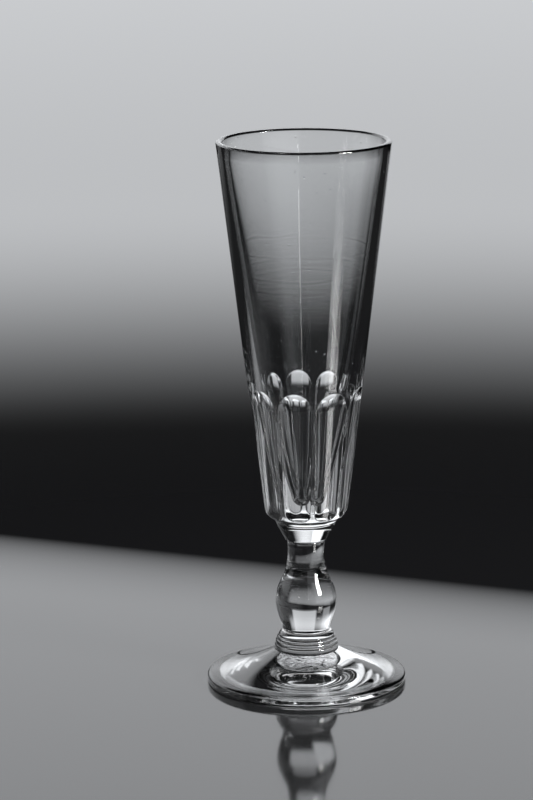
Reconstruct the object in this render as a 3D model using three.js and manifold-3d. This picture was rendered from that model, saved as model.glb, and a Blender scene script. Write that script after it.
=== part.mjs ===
// A hand-made champagne flute in heavy cut crystal, in millimetres, +Z up.
// The origin is the centre of the ring that the foot stands on, and -Y faces the middle of one cut.
//
// Five gathers of glass are welded hot, end to end, on one axis. From the table up they are
// foot, foot_merese, stem, bowl_merese and bowl, and each pair meets on a flat round weld.

import * as THREE from "three";
import { mergeVertices } from "three/addons/utils/BufferGeometryUtils.js";
import Module from "manifold-3d";

// ---- Driving dimensions ----

// Foot: a blown disc that rises to the stem, hollow underneath, with the scar of the pontil rod.
const footRadius = 31.3;
const footHeight = 10.4;
const footEdgeHeight = 2.9;
const footEdgeTopRound = 1.0;
const footEdgeBottomRound = 0.6;
const restRingWidth = 3.4;
const footHollow = 1.6;
const pontilRadius = 7.6;
const pontilStandOut = 0.5;

// Foot merese: the ringed collar between the knop and the foot.
const collarHeight = 6.2;
const collarRadius = 10.1;
const collarRings = 3;
const ringPitch = 1.4;
const ringDepth = 0.22;
const ringTopOffset = 1.1;

// Stem: one solid gather, an egg-shaped knop drawn up into a short, slightly waisted neck.
// The knop is widest nearer to its foot end than to its neck end.
const knopHeight = 21.7;
const knopRadius = 9.67;
const knopWidestHeight = 9.7;
const waistRadius = 7.35;
const neckHeight = 7.5;
const neckRadius = 6.0;
const neckWaisting = 0.3;

// Bowl merese: a small inverted cone that carries the bowl.
const mereseHeight = 6.1;
const mereseTopRadius = 9.7;
const mereseLowerRadius = 6.6;
const mereseLowerRound = 0.55;

// Bowl: a tall cone with a thick wall, ground with a ring of hollow cuts round its lower half.
const bowlHeight = 120.1;
const rimRadius = 27.1;
const rimWall = 2.0;
const bowlBaseRadius = 13.35;
const shoulderHeight = 5.1;
const baseThickness = 6.2;

// Cavity: nearly parallel to the outside near the lip, closing in faster towards its round floor.
// The tapers are radius lost per height at the two ends of its side, and the shares say how much
// of the side's height each end's direction is carried over.
const cavityBottomRadius = 4.4;
const cavityRoundHeight = 4.0;
const cavityUpperTaper = 0.15;
const cavityUpperShare = 0.46;
const cavityLowerTaper = 0.45;
const cavityLowerShare = 0.2;

// Cuts: hollow flutes made by a convex wheel, round-arched where the wheel runs out.
// The depths are measured in from the uncut cone, where the arch springs and at the shoulder.
const cutCount = 9;
const cutTopHeight = 43.8;
const cutTopDepth = 1.85;
const cutLowerDepth = 1.2;
const cutHollowRadius = 14;
const cutRunOutRadius = 10.2;

// ---- How finely round things are faceted ----

const wideSegments = 8 * cutCount;
const stemSegments = 5 * cutCount;
const curveSteps = 5;
const knopSteps = 9;
const ringSteps = 4;
const cutterSegments = 60;
const runOutSteps = 9;

// ---- Heights of the welds above the table ----

const collarBase = footHeight;
const knopBase = collarBase + collarHeight;
const neckBase = knopBase + knopHeight;
const mereseBase = neckBase + neckHeight;
const bowlBase = mereseBase + mereseHeight;
const rimTop = bowlBase + bowlHeight;

const glass = new THREE.Color(0.93, 0.94, 0.95);
const assembly = new THREE.Group();

// ---- Helpers ----

function crystal(tint) {
  return new THREE.MeshStandardMaterial({
    color: glass.clone().multiplyScalar(tint),
    roughness: 0.03,
    metalness: 0,
    transparent: true,
    opacity: 0.35,
  });
}

// The outline's points (radius, height), with curves in equal steps and no repeated point.
function outlinePoints(path, steps = curveSteps) {
  const points = path.getPoints(steps);
  const apart = (point, i) => i === 0 || point.distanceTo(points[i - 1]) > 1e-6;
  return points.filter(apart);
}

// Turns an outline of (radius, height), read from the axis below to the axis above, about +Z.
function turned(points, segments) {
  const geometry = new THREE.LatheGeometry(points, segments);
  return geometry.rotateX(Math.PI / 2);
}

function addPiece(name, geometry, tint = 1) {
  const mesh = new THREE.Mesh(geometry, crystal(tint));
  mesh.name = name;
  assembly.add(mesh);
}

// ---- Foot ----

function footGeometry() {
  const outline = new THREE.Path();
  const scarHeight = footHollow - pontilStandOut;
  const ringInner = footRadius - footEdgeBottomRound - restRingWidth;
  const topReach = footRadius - footEdgeTopRound - collarRadius;
  const topDrop = footHeight - footEdgeHeight;

  outline.moveTo(0, scarHeight);
  outline.lineTo(pontilRadius, scarHeight);
  outline.lineTo(pontilRadius, footHollow);
  outline.quadraticCurveTo((pontilRadius + ringInner) / 2, footHollow, ringInner, 0);
  outline.lineTo(footRadius - footEdgeBottomRound, 0);
  outline.quadraticCurveTo(footRadius, 0, footRadius, footEdgeBottomRound);
  outline.lineTo(footRadius, footEdgeHeight - footEdgeTopRound);
  outline.quadraticCurveTo(
    footRadius, footEdgeHeight - 0.25 * footEdgeTopRound,
    footRadius - footEdgeTopRound, footEdgeHeight,
  );
  outline.bezierCurveTo(
    collarRadius + 0.64 * topReach, footEdgeHeight + 0.2 * topDrop,
    collarRadius + 0.29 * topReach, footEdgeHeight + 0.53 * topDrop,
    collarRadius, footHeight,
  );
  outline.lineTo(0, footHeight);
  return turned(outlinePoints(outline), wideSegments);
}

// ---- Foot merese ----

// A bell that widens downwards, with tooled rings: each ring is one wave of a cosine in the radius.
function collarGeometry() {
  const bell = new THREE.CubicBezierCurve(
    new THREE.Vector2(collarRadius, collarBase),
    new THREE.Vector2(collarRadius, collarBase + 0.48 * collarHeight),
    new THREE.Vector2(waistRadius + 0.45 * (collarRadius - waistRadius), knopBase - 0.11 * collarHeight),
    new THREE.Vector2(waistRadius, knopBase),
  );
  const steps = Math.round((ringSteps * collarHeight) / ringPitch);
  const ringsTop = knopBase - ringTopOffset;
  const ringsBottom = ringsTop - collarRings * ringPitch;
  const points = bell.getPoints(steps).map((point) => {
    const inRings = point.y > ringsBottom && point.y < ringsTop;
    const wave = (1 - Math.cos((2 * Math.PI * (ringsTop - point.y)) / ringPitch)) / 2;
    return new THREE.Vector2(point.x - (inRings ? ringDepth * wave : 0), point.y);
  });
  points.unshift(new THREE.Vector2(0, collarBase));
  points.push(new THREE.Vector2(0, knopBase));
  return turned(points, stemSegments);
}

// ---- Stem ----

function stemGeometry() {
  const widest = knopBase + knopWidestHeight;
  const upper = neckBase - widest;
  const knop = new THREE.Path();
  knop.moveTo(0, knopBase);
  knop.lineTo(waistRadius, knopBase);
  knop.bezierCurveTo(
    waistRadius + 0.28 * (knopRadius - waistRadius), knopBase + 0.28 * knopWidestHeight,
    knopRadius, widest - 0.34 * knopWidestHeight,
    knopRadius, widest,
  );
  knop.bezierCurveTo(
    knopRadius, widest + 0.41 * upper,
    neckRadius + 0.05 * (knopRadius - neckRadius), neckBase - 0.36 * upper,
    neckRadius, neckBase,
  );

  const neck = new THREE.Path();
  neck.moveTo(neckRadius, neckBase);
  neck.quadraticCurveTo(
    neckRadius - 2 * neckWaisting, neckBase + neckHeight / 2,
    neckRadius, mereseBase,
  );
  neck.lineTo(0, mereseBase);

  const knopPoints = outlinePoints(knop, knopSteps);
  const neckPoints = outlinePoints(neck);
  return turned([...knopPoints, ...neckPoints.slice(1)], stemSegments);
}

// ---- Bowl merese ----

function mereseGeometry() {
  const outline = new THREE.Path();
  outline.moveTo(0, mereseBase);
  outline.lineTo(mereseLowerRadius - mereseLowerRound, mereseBase);
  outline.quadraticCurveTo(
    mereseLowerRadius, mereseBase,
    mereseLowerRadius + 0.1, mereseBase + mereseLowerRound,
  );
  outline.lineTo(mereseTopRadius, bowlBase);
  outline.lineTo(0, bowlBase);
  return turned(outlinePoints(outline), stemSegments);
}

// ---- Bowl ----

// The blown blank, before cutting: cone, shoulder, fire-polished lip, and a cavity whose wall
// thickens steadily from the lip to the solid base.
function bowlBlankGeometry() {
  const lip = rimWall / 2;
  const shoulderTop = bowlBase + shoulderHeight;
  const cavityBottom = bowlBase + baseThickness;
  const sideBottom = cavityBottom + cavityRoundHeight;
  const sideHeight = rimTop - lip - sideBottom;
  const upperReach = cavityUpperShare * sideHeight;
  const lowerReach = cavityLowerShare * sideHeight;
  const shoulderIn = bowlBaseRadius - mereseTopRadius;
  const outline = new THREE.Path();

  outline.moveTo(0, bowlBase);
  outline.lineTo(mereseTopRadius, bowlBase);
  outline.bezierCurveTo(
    mereseTopRadius + 0.16 * shoulderIn, bowlBase + 0.33 * shoulderHeight,
    bowlBaseRadius - 0.16 * shoulderIn, bowlBase + 0.26 * shoulderHeight,
    bowlBaseRadius, shoulderTop,
  );
  outline.lineTo(rimRadius, rimTop - lip);
  outline.absarc(rimRadius - lip, rimTop - lip, lip, 0, Math.PI, false);
  outline.bezierCurveTo(
    rimRadius - rimWall - cavityUpperTaper * upperReach, rimTop - lip - upperReach,
    cavityBottomRadius + cavityLowerTaper * lowerReach, sideBottom + lowerReach,
    cavityBottomRadius, sideBottom,
  );
  outline.quadraticCurveTo(0.86 * cavityBottomRadius, cavityBottom, 0, cavityBottom);
  return turned(outlinePoints(outline), wideSegments);
}

// The wheel's sweep for one cut, facing -Y: a round bar whose upper end curves away from the bowl.
// Its inmost line lies cutLowerDepth inside the cone at the shoulder, and cutTopDepth inside it
// where the arch springs.
function cutterGeometry() {
  const coneRise = bowlHeight - rimWall / 2 - shoulderHeight;
  const coneSpread = (rimRadius - bowlBaseRadius) / coneRise;
  const runOut = Math.sqrt(2 * cutRunOutRadius * cutTopDepth - cutTopDepth ** 2);
  const springRise = cutTopHeight - shoulderHeight - runOut;
  const lean = Math.atan(coneSpread - (cutTopDepth - cutLowerDepth) / springRise);
  const barTop = springRise / Math.cos(lean);
  const barBottom = -2 * shoulderHeight;
  const reachOut = 1.5 * runOut;
  const drawnIn = (reach) => cutRunOutRadius - Math.sqrt(cutRunOutRadius ** 2 - reach ** 2);

  const points = [new THREE.Vector2(0, barBottom), new THREE.Vector2(cutHollowRadius, barBottom)];
  for (let i = 0; i <= runOutSteps; i++) {
    const reach = (reachOut * i) / runOutSteps;
    points.push(new THREE.Vector2(cutHollowRadius - drawnIn(reach), barTop + reach));
  }
  points.push(new THREE.Vector2(0, barTop + reachOut));

  const geometry = turned(points, cutterSegments);
  geometry.rotateZ(Math.PI / cutterSegments);
  geometry.translate(0, cutLowerDepth - cutHollowRadius, 0);
  geometry.rotateX(lean);
  geometry.translate(0, -bowlBaseRadius, bowlBase + shoulderHeight);
  return geometry;
}

// ---- Cutting, with manifold-3d ----

const wasm = await Module();
wasm.setup();

function solidFrom(geometry) {
  const bare = geometry.clone();
  bare.deleteAttribute("normal");
  bare.deleteAttribute("uv");
  const merged = mergeVertices(bare, 1e-4);
  return new wasm.Manifold(new wasm.Mesh({
    numProp: 3,
    vertProperties: new Float32Array(merged.attributes.position.array),
    triVerts: new Uint32Array(merged.index.array),
  }));
}

function geometryFrom(solid) {
  const mesh = solid.getMesh();
  const geometry = new THREE.BufferGeometry();
  geometry.setAttribute("position", new THREE.BufferAttribute(mesh.vertProperties, 3));
  geometry.setIndex(new THREE.BufferAttribute(mesh.triVerts, 1));
  geometry.computeVertexNormals();
  return geometry;
}

function bowlGeometry() {
  let bowl = solidFrom(bowlBlankGeometry());
  const cutter = cutterGeometry();
  for (let i = 0; i < cutCount; i++) {
    const placed = cutter.clone().rotateZ((2 * Math.PI * i) / cutCount);
    bowl = bowl.subtract(solidFrom(placed));
  }
  return geometryFrom(bowl);
}

// ---- The assembly, from the table up ----

addPiece("foot", footGeometry());
addPiece("foot_merese", collarGeometry(), 0.98);
addPiece("stem", stemGeometry());
addPiece("bowl_merese", mereseGeometry(), 0.98);
addPiece("bowl", bowlGeometry());

export default assembly;
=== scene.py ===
"""A hand-made champagne flute in cut lead crystal, on a plain polished floor in soft light.

The glass is built from the table up, one section for each of its five gathers: the foot, the
ringed merese on it, the knopped stem, the merese under the bowl, and the bowl with its nine
hollow cuts. Lengths are in metres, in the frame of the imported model: +Z up, foot on Z = 0.
Each gather is a profile turned round Z. A cut takes the bowl's radius in to the cut's own circle
wherever that circle lies nearer the axis than the cone does.
"""

from math import cos, pi, radians, sin

import bpy
import numpy as np
from mathutils import Matrix, Vector


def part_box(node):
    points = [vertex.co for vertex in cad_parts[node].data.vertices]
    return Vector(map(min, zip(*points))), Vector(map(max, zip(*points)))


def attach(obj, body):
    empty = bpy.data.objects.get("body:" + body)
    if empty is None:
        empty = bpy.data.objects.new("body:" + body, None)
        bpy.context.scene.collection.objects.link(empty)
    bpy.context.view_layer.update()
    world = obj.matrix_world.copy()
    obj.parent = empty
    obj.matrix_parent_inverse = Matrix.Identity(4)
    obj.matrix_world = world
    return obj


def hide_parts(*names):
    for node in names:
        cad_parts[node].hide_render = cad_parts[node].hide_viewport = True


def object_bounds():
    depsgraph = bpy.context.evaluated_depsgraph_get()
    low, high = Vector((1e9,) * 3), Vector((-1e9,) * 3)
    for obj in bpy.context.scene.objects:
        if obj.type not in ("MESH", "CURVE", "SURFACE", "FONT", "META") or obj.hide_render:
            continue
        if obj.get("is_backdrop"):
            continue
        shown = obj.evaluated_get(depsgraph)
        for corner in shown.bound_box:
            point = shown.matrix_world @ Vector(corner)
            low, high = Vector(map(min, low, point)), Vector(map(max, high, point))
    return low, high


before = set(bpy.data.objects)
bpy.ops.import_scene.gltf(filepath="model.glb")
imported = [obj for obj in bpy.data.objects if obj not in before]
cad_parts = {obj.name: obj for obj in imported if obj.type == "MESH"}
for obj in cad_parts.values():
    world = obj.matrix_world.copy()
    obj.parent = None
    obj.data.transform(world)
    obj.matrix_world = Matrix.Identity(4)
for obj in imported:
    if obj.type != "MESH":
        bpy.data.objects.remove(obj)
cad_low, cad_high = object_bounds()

scene = bpy.context.scene
mm = 0.001


# ---- Camera ----
# A long lens from a little above the table, turned slightly aside and rolled by half a degree, so
# that the glass stands right of the middle and leans to the left.

camera_turn = radians(11)
camera_distance = 1050 * mm
camera_height = 324.4 * mm
camera_pitch = radians(12.557)
camera_yaw = radians(0.655)
camera_roll = radians(0.45)
camera_lens = 155.52
camera_film_width = 36

camera_data = bpy.data.cameras.new("camera")
camera_data.sensor_width = camera_film_width
camera_data.lens = camera_lens
camera_data.clip_start = 0.05
camera_data.clip_end = 50
camera = bpy.data.objects.new("camera", camera_data)
scene.collection.objects.link(camera)
scene.camera = camera

heading = camera_turn + camera_yaw
forward = Vector((-sin(heading) * cos(camera_pitch), cos(heading) * cos(camera_pitch), -sin(camera_pitch)))
level_right = Vector((cos(heading), sin(heading), 0))
level_up = level_right.cross(forward)
right = cos(camera_roll) * level_right - sin(camera_roll) * level_up
up = cos(camera_roll) * level_up + sin(camera_roll) * level_right
place = Vector((sin(camera_turn) * camera_distance, -cos(camera_turn) * camera_distance, camera_height))
camera.matrix_world = Matrix.Translation(place) @ Matrix((right, up, -forward)).transposed().to_4x4()


# ---- Floor and light ----
# A dark polished sheet that looks pale where it mirrors the lit tent, with a darker part behind a
# straight edge. It stands in a round tent of cloth, dark low down and between its lit panels, and
# the edges of the glass bend the view into that dark, which draws them.

class Wire:
    """One output socket of a node tree. Python's + - * on wires add Math nodes."""

    def __init__(self, nodes, socket):
        self.nodes, self.socket = nodes, socket

    def math(self, operation, first, second):
        return self.nodes.add("ShaderNodeMath", {"operation": operation}, {0: first, 1: second})

    def __add__(self, other):
        return self.math("ADD", self, other)

    def __radd__(self, other):
        return self.math("ADD", other, self)

    def __sub__(self, other):
        return self.math("SUBTRACT", self, other)

    def __rsub__(self, other):
        return self.math("SUBTRACT", other, self)

    def __mul__(self, other):
        return self.math("MULTIPLY", self, other)

    def __rmul__(self, other):
        return self.math("MULTIPLY", other, self)


class Nodes:
    """A node tree, emptied. add makes any node from its type, its settings and its sockets."""

    def __init__(self, tree):
        self.tree = tree
        tree.nodes.clear()

    def connect(self, node, sockets):
        """Gives each of a node's sockets its value, or its link where the value is a wire."""
        for socket, value in sockets.items():
            if isinstance(value, Wire):
                self.tree.links.new(value.socket, node.inputs[socket])
            else:
                node.inputs[socket].default_value = value

    def add(self, kind, settings=None, sockets=None, output=0):
        """Adds one node. Its settings come first, then its sockets."""
        node = self.tree.nodes.new(kind)
        for setting, value in (settings or {}).items():
            setattr(node, setting, value)
        self.connect(node, sockets or {})
        return Wire(self, node.outputs[output]) if node.outputs else node

    def ramp(self, factor, low, high, start=0.0, end=1.0):
        """A smooth step from start, where factor is low, to end, where it is high."""
        settings = {"interpolation_type": "SMOOTHSTEP", "clamp": True}
        sockets = {0: factor, 1: low, 2: high, 3: start, 4: end}
        return self.add("ShaderNodeMapRange", settings, sockets)


floor_radius = 0.8
edge_facing = (0.204, 0.979, 0)
pale_within, dark_beyond = 0.05, 0.125
fade_from, fade_to = 0.22, 0.45
dark_tone = (0.012, 0.012, 0.013, 1)
pale_tone = (0.025, 0.0255, 0.0262, 1)

bpy.ops.mesh.primitive_circle_add(vertices=96, radius=floor_radius, fill_type="NGON")
floor = bpy.context.object
floor.name = "floor"
floor_finish = bpy.data.materials.new("polished_sheet")
floor_finish.use_nodes = True
n = Nodes(floor_finish.node_tree)
spot = n.add("ShaderNodeTexCoord", output=3)
reach = n.add("ShaderNodeVectorMath", {"operation": "LENGTH"}, {0: spot}, output=1)
behind = n.add("ShaderNodeVectorMath", {"operation": "DOT_PRODUCT"}, {0: spot, 1: edge_facing}, output=1)
paleness = n.ramp(behind, pale_within, dark_beyond, 1.0, 0.0)
tone = n.add("ShaderNodeMix", {"data_type": "RGBA"}, {0: paleness, 6: dark_tone, 7: pale_tone}, output=2)
sheet = n.add("ShaderNodeBsdfPrincipled", None, {
    "Base Color": tone, "Roughness": 0.07, "IOR": 1.5, "Specular IOR Level": 0.5 * paleness,
})
clear = n.add("ShaderNodeBsdfTransparent")
ends = n.ramp(reach, fade_from, fade_to)
shown = n.add("ShaderNodeMixShader", None, {0: ends, 1: sheet, 2: clear})
n.add("ShaderNodeOutputMaterial", None, {"Surface": shown})
floor.data.materials.append(floor_finish)
floor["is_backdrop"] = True

# Each lit panel of the tent is a band of directions, in degrees from the front: its middle and its
# half width low down, the same two high up, its strength low and high, and the height it ends at.
tent_radius, tent_height = 1.5, 3.4
faint_light = 0.012
cool_white = (0.95, 0.97, 1.0, 1)
back_panel = (188, 15, 200, 30, 1.0, 1.0, 0.62)
back_left_panel = (225, 6, 225, 18, 0.5, 1.3, 1.0)
left_panel = (270, 8, 270, 18, 0.5, 0.9, 1.0)
front_right_panel = (45, 8, 45, 22, 0.5, 0.6, 1.0)

bpy.ops.mesh.primitive_cylinder_add(vertices=128, radius=tent_radius, depth=tent_height,
                                    end_fill_type="NOTHING")
tent = bpy.context.object
tent.name = "tent"
tent_cloth = bpy.data.materials.new("lit_cloth")
tent_cloth.use_nodes = True
n = Nodes(tent_cloth.node_tree)
spot = n.add("ShaderNodeTexCoord", output=3)
level = n.add("ShaderNodeSeparateXYZ", None, {0: spot}, output=2)
glow = (0.52 * n.ramp(level, -0.27, -0.09) + 0.15 * n.ramp(level, -0.10, 0.20)
        + 0.65 * n.ramp(level, 0.08, 0.40))
widening = n.ramp(level, 0.02, 0.32)


def band(middle, half, softness):
    """1 where the tent lies within half of the middle direction, falling to 0 over softness."""
    aim = (sin(radians(middle)) / tent_radius, -cos(radians(middle)) / tent_radius, 0)
    facing = n.add("ShaderNodeVectorMath", {"operation": "DOT_PRODUCT"}, {0: spot, 1: aim}, output=1)
    return n.ramp(facing, cos(radians(half + softness)), cos(radians(half)))


def lit_panel(middle, half, high_middle, high_half, low_strength, high_strength, end):
    """The low band, passing into the high one with height, times the strength at that height,
    and faded out above its end."""
    low_band = band(middle, half, 4)
    high_band = band(high_middle, high_half, 10)
    strength = n.ramp(level, 0.10, 0.35, low_strength, high_strength)
    panel = (low_band + (high_band - low_band) * widening) * strength
    return panel * n.ramp(level, end, end + 0.25, 1.0, 0.0)


panels = lit_panel(*back_panel)
for panel in (back_left_panel, left_panel, front_right_panel):
    panels = n.add("ShaderNodeMath", {"operation": "MAXIMUM"}, {0: panels, 1: lit_panel(*panel)})
cloth = n.add("ShaderNodeEmission", None, {"Color": cool_white, "Strength": faint_light + panels * glow})
n.add("ShaderNodeOutputMaterial", None, {"Surface": cloth})
tent.data.materials.append(tent_cloth)
tent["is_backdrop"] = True

world = bpy.data.worlds.new("studio")
scene.world = world
world.use_nodes = True
n = Nodes(world.node_tree)
dim = n.add("ShaderNodeBackground", None, {"Color": cool_white, "Strength": faint_light})
n.add("ShaderNodeOutputWorld", None, {"Surface": dim})


def soft_box(name, azimuth, elevation, distance, width, height, power):
    """An area light that faces the middle of the glass from that direction, in degrees."""
    lamp = bpy.data.lights.new(name, "AREA")
    lamp.shape = "RECTANGLE"
    lamp.size, lamp.size_y = width, height
    lamp.energy = power
    box = bpy.data.objects.new(name, lamp)
    turn, rise = radians(azimuth), radians(elevation)
    away = Vector((sin(turn) * cos(rise), -cos(turn) * cos(rise), sin(rise)))
    aim = Vector((0, 0, cad_high.z / 2))
    box.location = aim + distance * away
    box.rotation_euler = away.to_track_quat("Z", "Y").to_euler()
    scene.collection.objects.link(box)
    return box


window = soft_box("window", azimuth=69, elevation=21.5, distance=1.35, width=0.36, height=0.42, power=20)
soft_box("slit", azimuth=19, elevation=6.9, distance=1.35, width=0.03, height=0.075, power=0.04)
overhead = soft_box("overhead", azimuth=330, elevation=72, distance=1.3, width=0.7, height=0.7, power=3.5)

# The glass mirrors the window, but neither lamp is seen through it, and nothing mirrors the overhead.
window.visible_transmission = False
overhead.visible_transmission = False
overhead.visible_glossy = False

scene.view_settings.view_transform = "Standard"
scene.cycles.max_bounces = 40
scene.cycles.transmission_bounces = 40
scene.cycles.transparent_max_bounces = 40
scene.cycles.glossy_bounces = 12
scene.cycles.sample_clamp_indirect = 8
scene.cycles.use_denoising = True


# ---- Foot ----
# The spreading foot, blown as a bubble, opened and spun flat, so that it is hollow underneath
# and stands on its rim. A rough scar is left in the middle where the pontil rod was cracked off.

columns = 360
around = np.linspace(0, 2 * pi, columns, endpoint=False)


def round_piece(name, radius, height, weld_rows=()):
    """A closed skin round Z: point (row, column) is (r sin a, -r cos a, z).

    radius and height run from the lower point on the axis to the upper one, each as one value or one
    value per column. The two ends are single points. weld_rows are the rings that bound a flat
    weld face, whose faces get the second material and whose edges are sharp.
    """
    rows = len(radius)
    r = np.broadcast_to(np.reshape(radius, (rows, -1)), (rows, columns))
    z = np.broadcast_to(np.reshape(height, (rows, -1)), (rows, columns))
    grid = np.stack([r * np.sin(around), -r * np.cos(around), z], axis=-1)
    points = np.concatenate([grid[0, :1], grid[1:-1].reshape(-1, 3), grid[-1, :1]])

    ring = np.arange((rows - 2) * columns).reshape(rows - 2, columns) + 1
    here, there = ring, np.roll(ring, -1, axis=1)
    quads = np.stack([here[:-1], there[:-1], there[1:], here[1:]], axis=-1).reshape(-1, 4)
    lower = np.stack([np.zeros(columns, int), there[0], here[0]], axis=-1)
    upper = np.stack([np.full(columns, len(points) - 1), here[-1], there[-1]], axis=-1)

    mesh = bpy.data.meshes.new(name)
    mesh.from_pydata(points, [], lower.tolist() + quads.tolist() + upper.tolist())
    face_row = np.concatenate([np.zeros(columns, int), np.repeat(np.arange(1, rows - 2), columns),
                               np.full(columns, rows - 2)])
    welded = np.zeros(len(face_row), bool)
    for first, last in weld_rows:
        welded |= (face_row >= first) & (face_row < last)
    mesh.polygons.foreach_set("material_index", welded.astype(np.int32))
    mesh.polygons.foreach_set("use_smooth", np.ones(len(face_row), bool))

    row_of = np.concatenate([[0], np.repeat(np.arange(1, rows - 1), columns), [rows - 1]])
    ends = np.empty(2 * len(mesh.edges), np.int32)
    mesh.edges.foreach_get("vertices", ends)
    edge_rows = row_of[ends.reshape(-1, 2)]
    sharp = np.zeros(len(edge_rows), bool)
    for bound in {row for pair in weld_rows for row in pair} - {0, rows - 1}:
        sharp |= (edge_rows == bound).all(axis=1)
    mesh.attributes.new("sharp_edge", "BOOLEAN", "EDGE").data.foreach_set("value", sharp)
    piece = bpy.data.objects.new(name, mesh)
    scene.collection.objects.link(piece)
    return piece


def bezier(points, steps):
    """A Bezier curve through its end points: each point weighted by its Bernstein polynomial."""
    t = np.linspace(0, 1, steps + 1)[:, None]
    p = np.array(points, float)
    if len(p) == 3:
        return (1 - t) ** 2 * p[0] + 2 * t * (1 - t) * p[1] + t ** 2 * p[2]
    return (1 - t) ** 3 * p[0] + 3 * t * (1 - t) ** 2 * p[1] + 3 * t ** 2 * (1 - t) * p[2] + t ** 3 * p[3]


def joined(*runs):
    """Runs of (radius, height) points end to end, without the point that two runs share."""
    return np.concatenate([runs[0]] + [run[1:] for run in runs[1:]])


def straight(start, end, steps):
    """Points in equal steps from start to end."""
    return np.linspace(start, end, steps + 1)


def ripples(seed, count, wave_low, wave_high):
    """A function of x, y, z: that many sine waves of random direction, pitch and phase, summed
    and divided by the root of their number, so that its spread stays about the same."""
    dice = np.random.default_rng(seed)
    way = dice.normal(size=(count, 3))
    way /= np.linalg.norm(way, axis=1, keepdims=True)
    pitch = 2 * pi / dice.uniform(wave_low, wave_high, count)
    phase = dice.uniform(0, 2 * pi, count)

    def height(x, y, z):
        waves = [np.sin(k * (w[0] * x + w[1] * y + w[2] * z) + p) for w, k, p in zip(way, pitch, phase)]
        return sum(waves) / np.sqrt(count)
    return height


clear_tint = (0.972, 0.978, 0.98, 1)


def crystal(name):
    """The crystal's shader, whose roughness and surface each section links for itself."""
    material = bpy.data.materials.new(name)
    material.use_nodes = True
    nodes = Nodes(material.node_tree)
    glass = nodes.add("ShaderNodeBsdfPrincipled", None, {
        "Base Color": clear_tint, "Roughness": 0.0, "IOR": 1.55, "Transmission Weight": 1.0,
    })
    nodes.add("ShaderNodeOutputMaterial", None, {"Surface": glass})
    return material, nodes, glass.socket.node


# Where two gathers are welded the glass is one, so a weld face shows nothing.
weld = bpy.data.materials.new("hot_weld")
weld.use_nodes = True
weld_nodes = Nodes(weld.node_tree)
weld_nodes.add("ShaderNodeOutputMaterial", None, {"Surface": weld_nodes.add("ShaderNodeBsdfTransparent")})

foot_low, foot_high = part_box("foot")
foot_radius, foot_top = foot_high.x, foot_high.z
edge_height = 2.9 * mm
edge_top_round = 1.0 * mm
edge_bottom_round = 0.6 * mm
rest_width = 3.4 * mm
hollow = 1.6 * mm
scar_radius = 7.6 * mm
scar_stands = 0.5 * mm
scar_edge_width = 0.5 * mm
scar_roughness = 0.11 * mm
spin_waves = 0.004 * mm
collar_radius = 10.1 * mm

ring_inner = foot_radius - edge_bottom_round - rest_width
reach_out = foot_radius - edge_top_round - collar_radius
drop = foot_top - edge_height
scar = straight((0, hollow - scar_stands), (scar_radius, hollow - scar_stands), 26)
scar_edge = straight(scar[-1], (scar_radius + scar_edge_width, hollow), 3)
under = bezier([scar_edge[-1], ((scar_radius + ring_inner) / 2, hollow), (ring_inner, 0)], 20)
rest = straight(under[-1], (foot_radius - edge_bottom_round, 0), 4)
lower_round = bezier([rest[-1], (foot_radius, 0), (foot_radius, edge_bottom_round)], 6)
edge = straight(lower_round[-1], (foot_radius, edge_height - edge_top_round), 4)
upper_round = bezier([edge[-1], (foot_radius, edge_height - 0.25 * edge_top_round),
                      (foot_radius - edge_top_round, edge_height)], 6)
slope = bezier([upper_round[-1], (collar_radius + 0.64 * reach_out, edge_height + 0.2 * drop),
                (collar_radius + 0.29 * reach_out, edge_height + 0.53 * drop),
                (collar_radius, foot_top)], 46)
outline = joined(scar, scar_edge, under, rest, lower_round, edge, upper_round, slope)
weld_start = len(outline) - 1
outline = np.concatenate([outline, [(0, foot_top)]])

r, z = outline[:, :1], outline[:, 1:]
x, y = r * np.sin(around), -r * np.cos(around)
rough_scar = ripples(3, 18, 1.3 * mm, 4.5 * mm)(x, y, 0 * x)
in_scar = np.clip((scar_radius - 0.6 * mm - r) / (0.8 * mm), 0, 1) * (z < hollow)
spun = ripples(5, 8, 18 * mm, 45 * mm)(x, y, 0 * x)
from_edge = np.clip((foot_radius - 2 * mm - r) / (4 * mm), 0, 1)
from_collar = np.clip((r - collar_radius) / (3 * mm), 0, 1)
on_slope = from_edge * from_collar * (z > edge_height)
height = z + scar_roughness * rough_scar * in_scar + spin_waves * spun * on_slope

foot = round_piece("foot_glass", np.broadcast_to(r, x.shape), height, [(weld_start, len(outline) - 1)])

material, n, glass = crystal("foot_crystal")
spot = n.add("ShaderNodeTexCoord", output=3)
flat = n.add("ShaderNodeVectorMath", {"operation": "MULTIPLY"}, {0: spot, 1: (1, 1, 0)})
away = n.add("ShaderNodeVectorMath", {"operation": "LENGTH"}, {0: flat}, output=1)
low = n.add("ShaderNodeSeparateXYZ", None, {0: spot}, output=2)
under_mask = n.ramp(low, 0.0 * mm, 2.6 * mm, 1.0, 0.0)
scar_mask = n.ramp(away, scar_radius - 0.2 * mm, scar_radius + 0.4 * mm, 1.0, 0.0) * under_mask
on_ring = n.ramp(away, ring_inner - 0.8 * mm, ring_inner + 0.2 * mm)
worn = n.ramp(low, 0.05 * mm, 0.4 * mm, 1.0, 0.0) * on_ring
smear = n.add("ShaderNodeTexNoise", None, {"Vector": spot, "Scale": 60.0, "Detail": 3.0})
rings = n.add("ShaderNodeTexNoise", {"noise_dimensions": "1D"}, {"W": away, "Scale": 900.0, "Detail": 2.0})
grit = n.add("ShaderNodeTexNoise", None, {"Vector": spot, "Scale": 1400.0, "Detail": 3.0})
n.connect(glass, {"Roughness": 0.012 * smear + 0.22 * scar_mask + 0.3 * worn})
relief = rings * 0.0015 + grit * (scar_mask * 0.25 + worn * 0.12)
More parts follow.
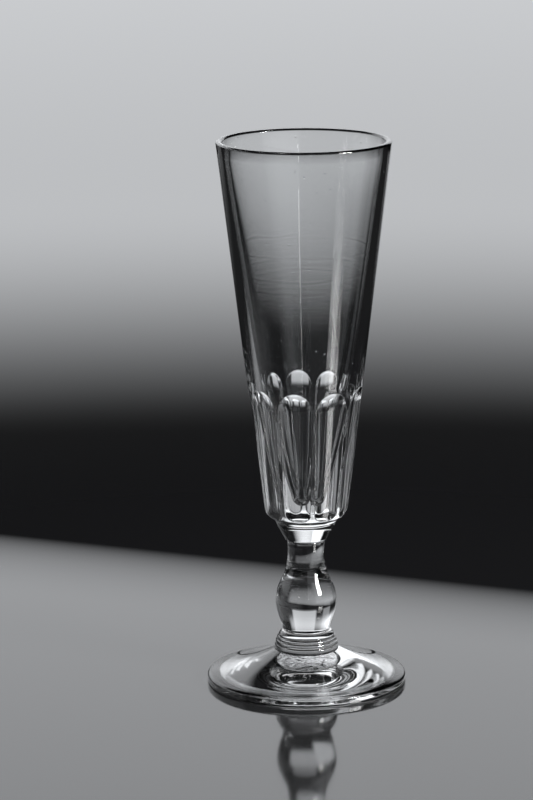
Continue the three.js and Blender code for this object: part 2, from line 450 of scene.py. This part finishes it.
bump = n.add("ShaderNodeBump", None, {"Strength": 1.0, "Distance": 1 * mm, "Height": relief})
n.connect(glass, {"Normal": bump})
foot.data.materials.append(material)
foot.data.materials.append(weld)
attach(foot, "root")
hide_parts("foot")


# ---- Foot merese ----
# The ringed collar: a gather dropped on the foot and squeezed to a bell, with three rings left
# by the jaws of the tongs. It is welded to the foot below and to the stem above.

collar_low, collar_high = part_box("foot_merese")
collar_height = collar_high.z - collar_low.z
waist_radius = 7.35 * mm
rings_up = (4.4 * mm, 3.3 * mm, 1.9 * mm)
ring_heights = tuple(collar_low.z + up for up in rings_up)
ring_depth = 0.17 * mm
ring_width = 0.26 * mm
crease_depth = 0.2 * mm
crease_width = 0.17 * mm
# The colour of the painted shade that darkens the weld creases and the tong rings.
crease_shade_color = (0.16, 0.15, 0.14, 1)


def creased(points, weld_height):
    """The outline with a narrow groove at a weld: a bell curve of height taken off the radius."""
    points = np.array(points)
    points[:, 0] -= crease_depth * np.exp(-((points[:, 1] - weld_height) / crease_width) ** 2)
    return points


def tooled_finish(nodes, glass_node, spot, depth):
    """Fine waves left by the tongs' jaws, nine times wider than high, and a faint smear."""
    flattened = nodes.add("ShaderNodeMapping", None, {"Vector": spot, "Scale": (1, 1, 9)})
    waves = nodes.add("ShaderNodeTexNoise", None, {"Vector": flattened, "Scale": 120.0, "Detail": 3.0})
    smear = nodes.add("ShaderNodeTexNoise", None, {"Vector": spot, "Scale": 90.0, "Detail": 2.0})
    bump = nodes.add("ShaderNodeBump", None, {"Strength": 1.0, "Distance": 1 * mm, "Height": waves * depth})
    nodes.connect(glass_node, {"Roughness": 0.012 * smear, "Normal": bump})


def paint_crease_shade(nodes, glass_node, level, heights, width):
    """Painted shade of that width in the grooves at those heights: a darker Base Color, which draws them as
    dark lines.
    """
    crease_shade = 0.0
    for height in heights:
        off = nodes.add("ShaderNodeMath", {"operation": "ABSOLUTE"}, {0: level - height})
        crease_shade = crease_shade + nodes.ramp(off, 0.3 * width, width, 1.0, 0.0)
    colors = {0: crease_shade, 6: clear_tint, 7: crease_shade_color}
    color = nodes.add("ShaderNodeMix", {"data_type": "RGBA"}, colors, output=2)
    nodes.connect(glass_node, {"Base Color": color})


bell = bezier([(collar_radius, collar_low.z),
               (collar_radius, collar_low.z + 0.48 * collar_height),
               (waist_radius + 0.45 * (collar_radius - waist_radius), collar_high.z - 0.11 * collar_height),
               (waist_radius, collar_high.z)], 120)
for mark in ring_heights:
    bell[:, 0] -= ring_depth * np.exp(-((bell[:, 1] - mark) / ring_width) ** 2)
bell = creased(bell, collar_high.z)
outline = np.concatenate([[(0, collar_low.z)], bell, [(0, collar_high.z)]])
last = len(outline) - 1
collar = round_piece("foot_merese_glass", outline[:, 0], outline[:, 1], [(0, 1), (last - 1, last)])

material, n, glass = crystal("merese_crystal")
spot = n.add("ShaderNodeTexCoord", output=3)
level = n.add("ShaderNodeSeparateXYZ", None, {0: spot}, output=2)
tooled_finish(n, glass, spot, depth=0.006)
# Painted shade darkens the groove of the top weld and of the three rings.
paint_crease_shade(n, glass, level, (collar_high.z,) + ring_heights, width=0.32 * mm)
collar.data.materials.append(material)
collar.data.materials.append(weld)
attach(collar, "root")
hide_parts("foot_merese")


# ---- Stem ----
# One solid gather, marvered to an egg-shaped knop and drawn up into a short neck that is a little
# slimmer in its middle. It is welded to the collar below and to the bowl's merese above.

stem_low, stem_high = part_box("stem")
knop_radius = stem_high.x
neck_height = 7.5 * mm
neck_radius = 6.0 * mm
neck_waisting = 0.3 * mm
hand_waves = 0.004
knop_widest = stem_low.z + 9.7 * mm
neck_low = stem_high.z - neck_height
upper_half = neck_low - knop_widest
knop_lower = bezier([(waist_radius, stem_low.z),
                     (waist_radius + 0.28 * (knop_radius - waist_radius), stem_low.z + 2.7 * mm),
                     (knop_radius, knop_widest - 3.3 * mm), (knop_radius, knop_widest)], 64)
knop_upper = bezier([(knop_radius, knop_widest), (knop_radius, knop_widest + 0.41 * upper_half),
                     (neck_radius + 0.05 * (knop_radius - neck_radius), neck_low - 0.36 * upper_half),
                     (neck_radius, neck_low)], 44)
neck = bezier([(neck_radius, neck_low), (neck_radius - 2 * neck_waisting, neck_low + neck_height / 2),
               (neck_radius, stem_high.z)], 52)
profile = creased(creased(joined(knop_lower, knop_upper, neck), stem_low.z), stem_high.z)
outline = np.concatenate([[(0, stem_low.z)], profile, [(0, stem_high.z)]])
last = len(outline) - 1
r, z = outline[:, :1], outline[:, 1:]
x, y = r * np.sin(around), -r * np.cos(around)
hand = ripples(11, 7, 14 * mm, 30 * mm)(x, y, z + 0 * x)
off_welds = np.clip((z - stem_low.z) / (3 * mm), 0, 1) * np.clip((stem_high.z - z) / (3 * mm), 0, 1)
radius = r * (1 + hand_waves * hand * off_welds)
stem = round_piece("stem_glass", radius, outline[:, 1], [(0, 1), (last - 1, last)])

material, n, glass = crystal("stem_crystal")
spot = n.add("ShaderNodeTexCoord", output=3)
drawn = n.add("ShaderNodeMapping", None, {"Vector": spot, "Scale": (1, 1, 0.12)})
cords = n.add("ShaderNodeTexNoise", None, {"Vector": drawn, "Scale": 260.0, "Detail": 2.0})
smear = n.add("ShaderNodeTexNoise", None, {"Vector": spot, "Scale": 90.0, "Detail": 2.0})
bump = n.add("ShaderNodeBump", None, {"Strength": 1.0, "Distance": 1 * mm, "Height": cords * 0.006})
n.connect(glass, {"Roughness": 0.01 * smear, "Normal": bump})
level = n.add("ShaderNodeSeparateXYZ", None, {0: spot}, output=2)
# Painted shade darkens the weld creases at both ends of the stem.
paint_crease_shade(n, glass, level, (stem_low.z, stem_high.z), width=0.22 * mm)
stem.data.materials.append(material)
stem.data.materials.append(weld)
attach(stem, "root")
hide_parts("stem")


# ---- Bowl merese ----
# A small wafer of glass, tooled to an inverted cone, that joins the bowl to the stem. Sharp
# creases are left at its two welds.

merese_low, merese_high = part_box("bowl_merese")
merese_top_radius = merese_high.x
merese_lower_radius = 6.6 * mm
merese_round = 0.55 * mm
lower = bezier([(neck_radius, merese_low.z), (merese_lower_radius, merese_low.z),
                (merese_lower_radius + 0.1 * mm, merese_low.z + merese_round)], 14)
side = straight(lower[-1], (merese_top_radius, merese_high.z), 56)
profile = creased(creased(joined(lower, side), merese_low.z), merese_high.z)
outline = np.concatenate([[(0, merese_low.z)], profile, [(0, merese_high.z)]])
last = len(outline) - 1
wafer = round_piece("bowl_merese_glass", outline[:, 0], outline[:, 1], [(0, 1), (last - 1, last)])

material, n, glass = crystal("wafer_crystal")
spot = n.add("ShaderNodeTexCoord", output=3)
level = n.add("ShaderNodeSeparateXYZ", None, {0: spot}, output=2)
tooled_finish(n, glass, spot, depth=0.004)
# Painted shade darkens the weld creases at both ends of the wafer.
paint_crease_shade(n, glass, level, (merese_low.z, merese_high.z), width=0.24 * mm)
wafer.data.materials.append(material)
wafer.data.materials.append(weld)
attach(wafer, "root")
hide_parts("bowl_merese")


# ---- Bowl ----
# A tall cone with a thick wall and a solid base, blown, sheared and fire-polished at the lip. The
# nine hollow cuts were ground and polished by a wheel of 14 mm hollow, and run out in round arches.

bowl_low, bowl_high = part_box("bowl")
rim_radius = bowl_high.x
rim_wall = 2.0 * mm
base_radius = 13.35 * mm
shoulder = 5.1 * mm
base_thickness = 6.2 * mm
cavity_radius = 4.4 * mm
cavity_round = 4.0 * mm
cavity_upper_taper, cavity_upper_share = 0.15, 0.46
cavity_lower_taper, cavity_lower_share = 0.45, 0.2
cut_count = 9
cut_top = bowl_low.z + 43.8 * mm
cut_top_depth = 1.85 * mm
cut_lower_depth = 1.2 * mm
cut_hollow = 14 * mm
cut_run_out = 10.2 * mm
cut_turn_error, cut_height_error = radians(0.25), 0.12 * mm
edge_softness = 0.2 * mm
ridge_width = 0.35 * mm
blown_waves = 0.05 * mm
lip = rim_wall / 2
lip_height = 0.75 * mm
lip_squareness = 0.88

shoulder_top = bowl_low.z + shoulder
cavity_floor = bowl_low.z + base_thickness
lip_low = bowl_high.z - lip_height
shoulder_in = base_radius - merese_top_radius
bevel = bezier([(merese_top_radius, bowl_low.z),
                (merese_top_radius + 0.16 * shoulder_in, bowl_low.z + 0.33 * shoulder),
                (base_radius - 0.16 * shoulder_in, bowl_low.z + 0.26 * shoulder),
                (base_radius, shoulder_top)], 52)
bevel = creased(bevel, bowl_low.z)
cone_spread = (rim_radius - base_radius) / (lip_low - shoulder_top)


def on_cone(heights):
    """Points (radius, height) of the uncut cone at those heights."""
    return np.stack([base_radius + cone_spread * (heights - shoulder_top), heights], axis=-1)


arch_low, arch_high = cut_top - 10 * mm, cut_top + 0.8 * mm
wall = joined(bevel, on_cone(np.linspace(shoulder_top, arch_low, 30)),
              on_cone(np.linspace(arch_low, arch_high, 64)), on_cone(np.linspace(arch_high, lip_low, 26)))
turn = np.linspace(0, pi, 21)
crown = np.sign(np.cos(turn)) * np.abs(np.cos(turn)) ** lip_squareness
rise = lip_height * np.sin(turn) ** lip_squareness
rim = np.stack([rim_radius - lip + lip * crown, lip_low + rise], axis=-1)
cavity_low = cavity_floor + cavity_round
upper_reach = cavity_upper_share * (lip_low - cavity_low)
lower_reach = cavity_lower_share * (lip_low - cavity_low)
cavity_side = bezier([rim[-1],
                      (rim[-1][0] - cavity_upper_taper * upper_reach, lip_low - upper_reach),
                      (cavity_radius + cavity_lower_taper * lower_reach, cavity_low + lower_reach),
                      (cavity_radius, cavity_low)], 56)
cavity_end = bezier([cavity_side[-1], (0.86 * cavity_radius, cavity_floor), (0, cavity_floor)], 18)
outline = np.concatenate([[(0, bowl_low.z)], joined(wall, rim, cavity_side, cavity_end)])
outer_rows = 1 + len(wall)

# A cut's inmost line runs straight from the shoulder to where its arch springs. There the wheel's
# edge curves away along a circle, so its hollow radius shrinks with the height above the spring.
dice = np.random.default_rng(27)
cut_run = np.sqrt(2 * cut_run_out * cut_top_depth - cut_top_depth ** 2)
out_of_reach = 1.0
r, z = outline[:, :1], outline[:, 1:]
radius = np.broadcast_to(r, (len(outline), columns)).copy()
nearest_cut = np.full_like(radius, out_of_reach)
for cut in range(cut_count):
    middle = 2 * pi * cut / cut_count + dice.normal(0, cut_turn_error)
    top = cut_top + dice.normal(0, cut_height_error)
    spring = top - cut_run
    along = (z - shoulder_top) / (spring - shoulder_top)
    depth = cut_lower_depth + (cut_top_depth - cut_lower_depth) * along
    over = np.clip(z - spring, 0, 0.999 * cut_run_out)
    hollow_radius = cut_hollow - (cut_run_out - np.sqrt(cut_run_out ** 2 - over ** 2))
    centre = base_radius + cone_spread * (z - shoulder_top) - depth + cut_hollow
    aside = (around - middle + pi) % (2 * pi) - pi
    across = centre * np.sin(aside)
    inside = np.clip(hollow_radius ** 2 - across ** 2, 0, None)
    ground = centre * np.cos(aside) - np.sqrt(inside)
    ground = np.where((np.abs(aside) < pi / 3) & (inside > 0), ground, out_of_reach)
    ground[outer_rows:] = out_of_reach
    gap = radius - ground
    blend = np.clip(edge_softness - np.abs(gap), 0, None) / edge_softness
    nearest_cut = np.minimum(nearest_cut, np.abs(gap))
    radius = np.minimum(radius, ground) - blend ** 2 * edge_softness / 4

x, y = radius * np.sin(around), -radius * np.cos(around)
blown = ripples(17, 10, 16 * mm, 50 * mm)(x, y, 0.45 * z + 0 * x)
is_cavity = np.zeros((len(outline), 1))
is_cavity[outer_rows + len(rim):] = 1.0
below_lip = np.clip((lip_low - z) / (12 * mm), 0, 1)
above_floor = np.clip((z - cavity_floor - 2 * mm) / (5 * mm), 0, 1)
radius = radius + blown_waves * blown * below_lip * above_floor * is_cavity
bowl = round_piece("bowl_glass", radius, outline[:, 1], [(0, 1)])

ridge = np.clip(1 - nearest_cut / ridge_width, 0, 1)
ridge[outer_rows:] = 0
values = np.concatenate([ridge[0, :1], ridge[1:-1].ravel(), ridge[-1, :1]]).astype(np.float32)
bowl.data.attributes.new("cut_edge", "FLOAT", "POINT").data.foreach_set("value", values)

material, n, glass = crystal("bowl_crystal")
spot = n.add("ShaderNodeTexCoord", output=3)
high = n.add("ShaderNodeSeparateXYZ", None, {0: spot}, output=2)
wander = n.add("ShaderNodeTexNoise", None, {"Vector": spot, "Scale": 45.0, "Detail": 1.0})
flattened = n.add("ShaderNodeMapping", None, {"Vector": spot, "Scale": (1, 1, 14)})
striae = n.add("ShaderNodeTexNoise", None, {"Vector": flattened, "Scale": 28.0, "Detail": 2.0})
tooled_band = n.ramp(high, 112 * mm, 128 * mm) * n.ramp(high, 132 * mm, 146 * mm, 1.0, 0.0)

# Cords are thin level waves in the glass, which wander up and down and are broken in places.
cord_wander, cord_width = 3.5 * mm, 0.7 * mm
cords = 0.0
for height, strength in [(139 * mm, 1.0), (131.5 * mm, 0.7), (127.5 * mm, 0.5)]:
    drift = high - height - cord_wander * (wander - 0.5)
    off = n.add("ShaderNodeMath", {"operation": "ABSOLUTE"}, {0: drift})
    cords = cords + strength * n.ramp(off, 0.0, cord_width, 1.0, 0.0)

# Seeds are tiny bubbles: a few stray ones anywhere, and a crowd at the floor of the cavity.
seeds = n.add("ShaderNodeTexVoronoi", None, {"Vector": spot, "Scale": 420.0})
seed_pick = n.add("ShaderNodeTexVoronoi", None, {"Vector": spot, "Scale": 420.0}, output=1)
luck = n.add("ShaderNodeSeparateColor", None, {0: seed_pick})
crowd = n.ramp(high, 59 * mm, 61 * mm, 1.0, 0.0) * n.ramp(high, 57.4 * mm, 58 * mm)
chosen = n.ramp(luck + 0.45 * crowd, 0.93, 0.96)
seed = n.ramp(seeds, 0.05, 0.12, 1.0, 0.0) * chosen

smear = n.add("ShaderNodeTexNoise", None, {"Vector": spot, "Scale": 70.0, "Detail": 3.0})
edges = n.add("ShaderNodeAttribute", {"attribute_name": "cut_edge"}, output=2)
sparkle = n.add("ShaderNodeTexNoise", None, {"Vector": spot, "Scale": 1300.0, "Detail": 2.0})
patches = n.add("ShaderNodeTexNoise", None, {"Vector": spot, "Scale": 75.0, "Detail": 1.0})
broken = n.ramp(patches, 0.42, 0.6)
waves = striae * (0.004 + 0.004 * tooled_band) + cords * broken * 0.003
relief = waves + sparkle * edges * 0.07 - seed * 0.09
bump = n.add("ShaderNodeBump", None, {"Strength": 1.0, "Distance": 1 * mm, "Height": relief})
n.connect(glass, {"Roughness": 0.008 * smear + 0.05 * edges, "Normal": bump})
# Painted shade darkens the weld crease at the foot of the bowl.
paint_crease_shade(n, glass, high, (bowl_low.z,), width=0.28 * mm)
bowl.data.materials.append(material)
bowl.data.materials.append(weld)
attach(bowl, "root")
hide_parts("bowl")


# ---- Sizes of the rebuilt glass ----

low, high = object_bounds()
